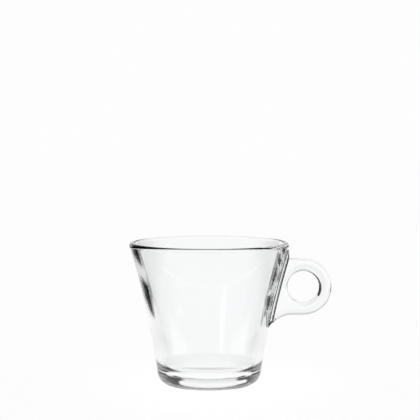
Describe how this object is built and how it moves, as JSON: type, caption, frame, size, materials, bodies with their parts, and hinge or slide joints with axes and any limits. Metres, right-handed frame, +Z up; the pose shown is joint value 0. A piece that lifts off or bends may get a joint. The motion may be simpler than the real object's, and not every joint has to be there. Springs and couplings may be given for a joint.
{
  "type": "glass cappuccino cup",
  "caption": "Clear pressed-glass coffee cup: flared bowl with a round lip, heavy rounded base and a flat ring handle fused to the wall.",
  "frame": {"origin": "centre of the foot on the table plane, on the bowl's axis", "axes": "+Z up along the bowl's axis, +X from the axis towards the handle, +Y through the finger hole"},
  "size_m": [0.1021, 0.0808, 0.0724],
  "materials": {
    "glass": "clear fire-polished pressed glass"
  },
  "bodies": {
    "root": {"bowl": "glass", "handle": "glass"}
  },
  "joints": []
}
